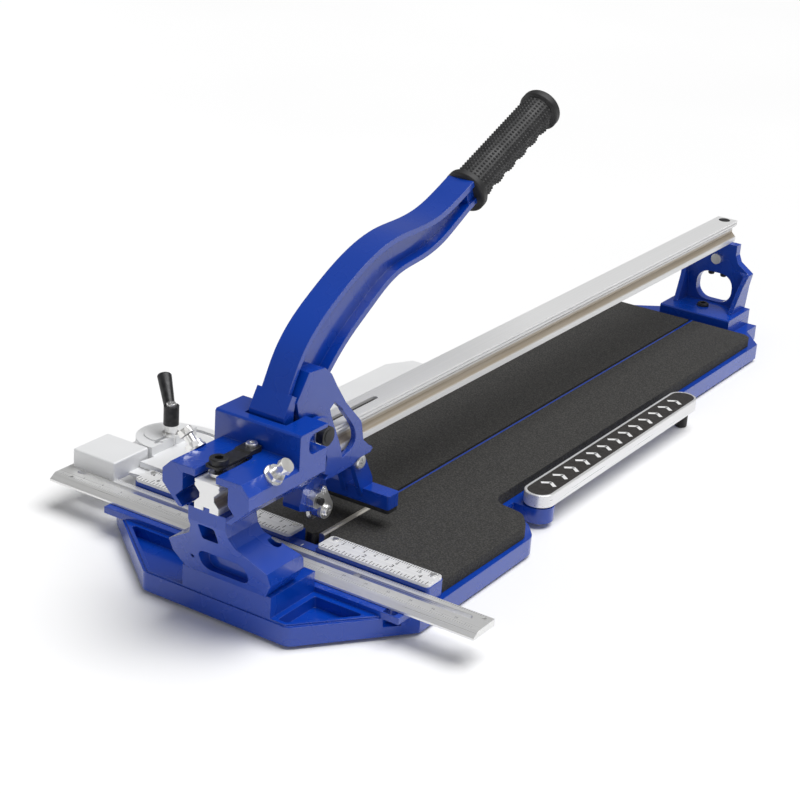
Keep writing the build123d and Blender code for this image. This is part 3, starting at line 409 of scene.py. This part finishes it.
def soft_copy(node, name, material, rounding):
    """Stand-in for a soft CAD solid: same shape with moulded, rounded edges."""
    weld, flat, crease = 0.01 * MM, math.radians(1.0), math.radians(35)
    bm = bmesh.new()
    bm.from_mesh(NODES[node].data)
    bmesh.ops.remove_doubles(bm, verts=bm.verts, dist=weld)
    bmesh.ops.dissolve_limit(bm, angle_limit=flat, verts=bm.verts, edges=bm.edges)
    sharp = [e for e in bm.edges if len(e.link_faces) == 2 and e.calc_face_angle(0) > crease]
    bmesh.ops.bevel(bm, geom=sharp, offset=rounding, segments=3, profile=0.5, affect="EDGES",
                    clamp_overlap=True)
    mesh = mesh_from(bm, name)
    made = finish_piece(mesh, name, material, body_of_node(node))
    weighted = made.modifiers.new("weighted", "WEIGHTED_NORMAL")
    weighted.keep_sharp = False
    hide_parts(node)


def turned(profile, place, axis, segments=48):
    """Closed ring: (radius, height) points turned about an axis through a place."""
    bm = bmesh.new()
    frame_of_axis = Vector(axis).normalized().to_track_quat("Z", "Y").to_matrix()
    rings = []
    for radius, height in profile:
        ring = []
        for step in range(segments):
            angle = 2 * math.pi * step / segments
            local = Vector((radius * math.cos(angle), radius * math.sin(angle), height))
            ring.append(bm.verts.new(Vector(place) + frame_of_axis @ local))
        rings.append(ring)
    for index in range(len(rings)):
        low, high = rings[index], rings[(index + 1) % len(rings)]
        for step in range(segments):
            after = (step + 1) % segments
            bm.faces.new((low[step], low[after], high[after], high[step]))
    return bm


def slab(bm, centre, size, turn=0.0):
    """Add a thin flat bar (a printed mark) lying at centre, turned about Z."""
    half_x, half_y, half_z = (value / 2 for value in size)
    spin = Matrix.Rotation(turn, 3, "Z")
    corners = []
    for sz in (-1, 1):
        for sx, sy in ((-1, -1), (1, -1), (1, 1), (-1, 1)):
            offset = spin @ Vector((sx * half_x, sy * half_y, sz * half_z))
            corners.append(bm.verts.new(Vector(centre) + offset))
    for face in ((0, 3, 2, 1), (4, 5, 6, 7), (0, 1, 5, 4), (1, 2, 6, 5), (2, 3, 7, 6),
                 (3, 0, 4, 7)):
        bm.faces.new([corners[i] for i in face])


def digits(name, marks, height, material, body):
    """Printed numerals: marks are (text, x, y, z) places of their centres on a level face."""
    bm = bmesh.new()
    for text, x, y, z in marks:
        curve = bpy.data.curves.new(name, "FONT")
        curve.body = text
        curve.size = height
        curve.extrude = PRINT_T / 2
        curve.align_x = "CENTER"
        curve.align_y = "CENTER"
        curve.resolution_u = 3
        holder = bpy.data.objects.new(name, curve)
        bpy.context.scene.collection.objects.link(holder)
        bpy.context.view_layer.update()
        flat = holder.to_mesh()
        flat.transform(Matrix.Translation((x, y, z)))
        bm.from_mesh(flat)
        holder.to_mesh_clear()
        bpy.data.objects.remove(holder)
        bpy.data.curves.remove(curve)
    mesh = bpy.data.meshes.new(name)
    bm.to_mesh(mesh)
    bm.free()
    return finish_piece(mesh, name, material, body, smooth=False)


# ---------------------------------------------------------------- soft parts
for pad_node in ("right_pad", "left_pad"):
    soft_copy(pad_node, pad_node + "_rubber", PAD, 1.1 * MM)
soft_copy("base_rubber_strips", "base_strips_rubber", RUBBER, 0.6 * MM)
soft_copy("foot_sole", "foot_sole_rubber", RUBBER, 0.9 * MM)
for side in ("right", "left"):
    soft_copy(side + "_arm_foot", side + "_arm_foot_rubber", RUBBER, 0.8 * MM)


def handle_grip():
    """Moulded grip: two end rings, finger scallops below and a grid of raised dots."""
    tilt = math.radians(23.0)
    start = Vector((0, 198.0, 270.5)) * MM
    along = Vector((0, math.cos(tilt), math.sin(tilt)))
    side = Vector((1, 0, 0))
    up = side.cross(along)
    around, slices = 252, 300
    # Sizes along the grip and across it, in millimetres.
    length, collar_end, cap_start = 132.0, 9.0, 121.0
    bore, collar, collar_rise = 11.5, 15.6, 3.2
    cap, cap_rise, cap_end, cap_rounding = 15.4, 2.5, 17.9, 5.0
    lead, fall_back = 1.6, 2.5
    barrel, dot_height, scallop_depth = 15.3, 0.9, 2.3
    dot_pitch, scallop_pitch, dots_around = 3.6, 18.6, 28

    def wave(distance, pitch):
        """0 at the collar and at each pitch after it, 1 half-way between."""
        return 0.5 - 0.5 * math.cos(2 * math.pi * (distance - collar_end) / pitch)

    def radius(distance, angle):
        if distance < collar_end:
            rise = min(distance / lead, (collar_end - distance) / fall_back, 1.0)
            return collar + collar_rise * max(rise, 0.0) ** 0.5
        if distance > cap_start:
            grow = min((distance - cap_start) / lead, 1.0)
            fall = max((distance - length + cap_rounding) / cap_rounding, 0.0)
            return (cap + cap_rise * grow ** 0.5) * (1.0 - 0.2 * fall ** 2)
        below = min(max((0.35 - math.sin(angle)) / 0.75, 0.0), 1.0)
        below = below * below * (3.0 - 2.0 * below)
        scallop = below * wave(distance, scallop_pitch)
        grid = (0.5 + 0.5 * math.cos(dots_around * angle)) * wave(distance, dot_pitch)
        dot = max((grid - 0.42) / 0.58, 0.0) ** 0.65
        return barrel + dot_height * dot - scallop_depth * (below - scallop)

    def ring_of(bm, distance, shape):
        ring = []
        for step in range(around):
            angle = 2 * math.pi * step / around
            spoke = side * math.cos(angle) + up * math.sin(angle)
            ring.append(bm.verts.new(start + (along * distance + spoke * shape(angle)) * MM))
        return ring

    def bridge(bm, low, high):
        for step in range(around):
            after = (step + 1) % around
            bm.faces.new((low[step], low[after], high[after], high[step]))

    bm = bmesh.new()
    rings = [ring_of(bm, 0.0, lambda angle: bore)]
    for index in range(slices + 1):
        distance = (length - 0.6) * index / slices
        rings.append(ring_of(bm, distance, lambda angle: radius(distance, angle)))
    for reach, size in ((length - 0.25, 0.75), (length - 0.05, 0.6), (length, 0.3)):
        rings.append(ring_of(bm, reach, lambda angle: cap_end * size))
    for low, high in zip(rings, rings[1:]):
        bridge(bm, low, high)
    bm.faces.new(rings[-1])
    bm.faces.new(list(reversed(rings[0])))
    made = finish_piece(mesh_from(bm, "grip_moulding"), "grip_moulding", GRIP, "lever")
    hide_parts("grip")


handle_grip()


# ---------------------------------------------------------------- printed scales
def fence_scale(plate, name):
    """Inch marks along the front edge of a fence plate, 2 mm marks along its rear edge."""
    low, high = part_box(plate)
    top = high.z + PRINT_T / 2
    margin = 2.0 * MM
    eighth, fine_step = INCH / 8, 2 * MM
    inch_stroke, fine_stroke = 0.55 * MM, 0.45 * MM
    marks = bmesh.new()
    first = math.ceil((low.x + margin) / eighth)
    last = math.floor((high.x - margin) / eighth)
    for index in range(first, last + 1):
        reach = 3.0 * MM
        for every, longer in ((2, 4.0 * MM), (4, 5.0 * MM), (8, 6.6 * MM)):
            if index % every == 0:
                reach = longer
        slab(marks, (index * eighth, low.y + 0.5 * MM + reach / 2, top),
             (inch_stroke, reach, PRINT_T))
    first = math.ceil((low.x + margin) / fine_step)
    last = math.floor((high.x - margin) / fine_step)
    for index in range(first, last + 1):
        reach = 4.6 * MM if index % 5 == 0 else 2.6 * MM
        slab(marks, (index * fine_step, high.y - 0.6 * MM - reach / 2, top),
             (fine_stroke, reach, PRINT_T))
    finish_piece(mesh_from(marks, name + "_marks"), name + "_marks", DARK_INK, "base",
                 smooth=False)
    inches = []
    for inch in range(-6, 6):
        x = inch * INCH
        if inch and low.x + 4 * MM < x < high.x - 4 * MM:
            inches.append((str(abs(inch)), x + 3.0 * MM, low.y + 8.6 * MM, top))
    digits(name + "_inches", inches, 6.6 * MM, DARK_INK, "base")
    centimetres = []
    for step in range(-16, 13):
        x = step * 10 * MM
        if step and low.x + 5 * MM < x < high.x - 5 * MM:
            centimetres.append((str(abs(step)), x, high.y - 7.2 * MM, top))
    digits(name + "_centimetres", centimetres, 4.2 * MM, DARK_INK, "base")


fence_scale("left_scale_plate", "left_scale")
fence_scale("right_scale_plate", "right_scale")


def bar_scale():
    """Fine graduation along both edges of the ruler bar, numbered in centimetres."""
    low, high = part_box("ruler_bar")
    top = high.z + PRINT_T / 2
    step, margin, stroke = 2 * MM, 6 * MM, 0.22 * MM
    front_start, rear_middle, numeral_line = 6.4 * MM, 1.4 * MM, 12.4 * MM
    count = int((high.x - low.x - 2 * margin) / step)
    marks = bmesh.new()
    numerals = []
    for index in range(count + 1):
        x = low.x + margin + index * step
        reach = 3.6 * MM if index % 5 == 0 else 2.0 * MM
        slab(marks, (x, low.y + front_start + reach / 2, top), (stroke, reach, PRINT_T))
        if index % 10 == 0 and index:
            numerals.append((str(index // 5), x, low.y + numeral_line, top))
        slab(marks, (x, high.y - rear_middle, top), (stroke, 2.0 * MM, PRINT_T))
    etched = ink("etched_mark", pale=(0.30, 0.30, 0.31), dark=(0.20, 0.20, 0.21))
    finish_piece(mesh_from(marks, "bar_marks"), "bar_marks", etched, "ruler",
                 smooth=False)
    digits("bar_numerals", numerals, 3.0 * MM, etched, "ruler")


bar_scale()


# ---------------------------------------------------------------- small trim
def index_mark():
    """White line on the low middle of the fence that shows the cut line."""
    fence_top = 30.0 * MM
    bm = bmesh.new()
    slab(bm, (0, -4.2 * MM, fence_top + PRINT_T / 2), (1.0 * MM, 3.6 * MM, PRINT_T))
    finish_piece(mesh_from(bm, "cut_line_mark"), "cut_line_mark", WHITE_INK, "base",
                 smooth=False)


index_mark()


def slot_strip():
    """Black strip with rounded ends, sunk in the slot on top of the rail: a dark piece standing
    in for the shade inside the slot.
    """
    half_width, front_end, rear_end = 2.4, -87.0, 85.0
    bottom, top = 120.2, 123.6
    arc_steps = 8
    bm = bmesh.new()
    outline = []
    for centre, base_angle in ((rear_end, 0.0), (front_end, math.pi)):
        for step in range(arc_steps + 1):
            angle = base_angle + math.pi * step / arc_steps
            outline.append((half_width * math.cos(angle), centre + half_width * math.sin(angle)))
    lower, upper = [[bm.verts.new((x * MM, y * MM, z * MM)) for x, y in outline]
                    for z in (bottom, top)]
    for step in range(len(outline)):
        after = (step + 1) % len(outline)
        bm.faces.new((lower[step], lower[after], upper[after], upper[step]))
    bm.faces.new(upper)
    bm.faces.new(list(reversed(lower)))
    # Dark piece put in the slot as painted shade.
    finish_piece(mesh_from(bm, "rail_slot_shade_strip"), "rail_slot_shade_strip", FILM, "base",
                 smooth=False)


slot_strip()


def arm_print(side, body):
    """Row of plain chevrons on an arm label."""
    low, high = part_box(side + "_arm_label")
    middle = (low.x + high.x) / 2
    top = high.z + PRINT_T / 2
    reach, stroke, spacing, count = 9.0 * MM, 3.4 * MM, 20.0 * MM, 13
    slope = math.radians(-38)
    start = (low.y + high.y) / 2 - spacing * (count - 1) / 2
    bm = bmesh.new()
    for index in range(count):
        y = start + index * spacing
        for half in (-1, 1):
            slab(bm, (middle + half * reach * 0.34, y, top), (reach, stroke, PRINT_T),
                 turn=half * slope)
    finish_piece(mesh_from(bm, side + "_arm_print"), side + "_arm_print", WHITE_INK, body,
                 smooth=False)


arm_print("right", "right_arm")
arm_print("left", "left_arm")


def bearing_shields():
    """Metal shields that show on both faces of each bearing."""
    half_width = 2.5 * MM
    inner, outer, thickness = 5.6 * MM, 8.2 * MM, 0.12 * MM
    section = ((inner, 0.0), (outer, 0.0), (outer, thickness), (inner, thickness))
    for joint in frame["record"]["behaviour"]["joints"]:
        if not joint["child"].endswith("_bearing"):
            continue
        axis = Vector(joint["axis"])
        for end, sign in (("outer", 1), ("inner", -1)):
            face = Vector(joint["pos_m"]) + axis * sign * half_width
            bm = turned(section, face, axis * sign)
            name = f"{joint['child']}_{end}_shield"
            finish_piece(mesh_from(bm, name), name, BLACK, joint["child"],
                         smooth=False)


bearing_shields()


# ---------------------------------------------------------------- studio
def area_light(name, place, target, size, power):
    """Rectangular softbox that looks at a target."""
    lamp = bpy.data.lights.new(name, "AREA")
    lamp.shape = "RECTANGLE"
    lamp.size, lamp.size_y = size
    lamp.energy = power
    made = bpy.data.objects.new(name, lamp)
    bpy.context.scene.collection.objects.link(made)
    made.location = place
    made.rotation_euler = (Vector(target) - Vector(place)).to_track_quat("-Z", "Y").to_euler()


def studio():
    """White floor, even white surroundings, a broad light overhead and two softboxes."""
    half = 6.0
    ambient, overhead_power, overhead_spread = 0.20, 3.0, math.radians(48)
    bm = bmesh.new()
    corners = ((-half, -half), (half, -half), (half, half), (-half, half))
    bm.faces.new([bm.verts.new((x, y, 0.0)) for x, y in corners])
    mesh = mesh_from(bm, "floor")
    mesh.materials.append(studio_floor())
    floor = bpy.data.objects.new("floor", mesh)
    bpy.context.scene.collection.objects.link(floor)
    world = bpy.data.worlds.new("studio")
    bpy.context.scene.world = world
    world.use_nodes = True
    background = world.node_tree.nodes["Background"]
    background.inputs["Color"].default_value = (1.0, 1.0, 1.0, 1.0)
    background.inputs["Strength"].default_value = ambient
    bpy.context.scene.view_settings.view_transform = "Standard"
    sky = bpy.data.lights.new("overhead", "SUN")
    sky.energy = overhead_power
    sky.angle = overhead_spread
    overhead = bpy.data.objects.new("overhead", sky)
    bpy.context.scene.collection.objects.link(overhead)
    overhead.rotation_euler = (math.radians(-14), math.radians(16), 0)
    middle = (0, 0.2, 0.1)
    area_light("left_softbox", (-2.4, -0.6, 0.7), middle, size=(1.8, 0.9), power=5)
    area_light("front_softbox", (0.9, -2.4, 0.9), middle, size=(2.2, 0.8), power=8)


studio()


def product_camera():
    """Camera at the product view: from the front right, above the table, slightly rolled."""
    place = (0.77278, -1.10775, 0.71417)
    azimuth, elevation, roll = math.radians(31.517), math.radians(22.453), math.radians(4.211)
    level = math.cos(elevation)
    back = Vector((math.sin(azimuth) * level, -math.cos(azimuth) * level, math.sin(elevation)))
    right = Vector((math.cos(azimuth), math.sin(azimuth), 0))
    up = back.cross(right)
    camera_x = right * math.cos(roll) + up * math.sin(roll)
    camera_y = up * math.cos(roll) - right * math.sin(roll)
    lens = bpy.data.cameras.new("camera")
    lens.sensor_width = 36.0
    lens.lens = 87.4
    lens.shift_x = -0.0236
    lens.shift_y = 0.0033
    lens.clip_start = 0.05
    camera = bpy.data.objects.new("camera", lens)
    bpy.context.scene.collection.objects.link(camera)
    turn = Matrix((camera_x, camera_y, back)).transposed().to_4x4()
    camera.matrix_world = Matrix.Translation(place) @ turn
    bpy.context.scene.camera = camera


product_camera()
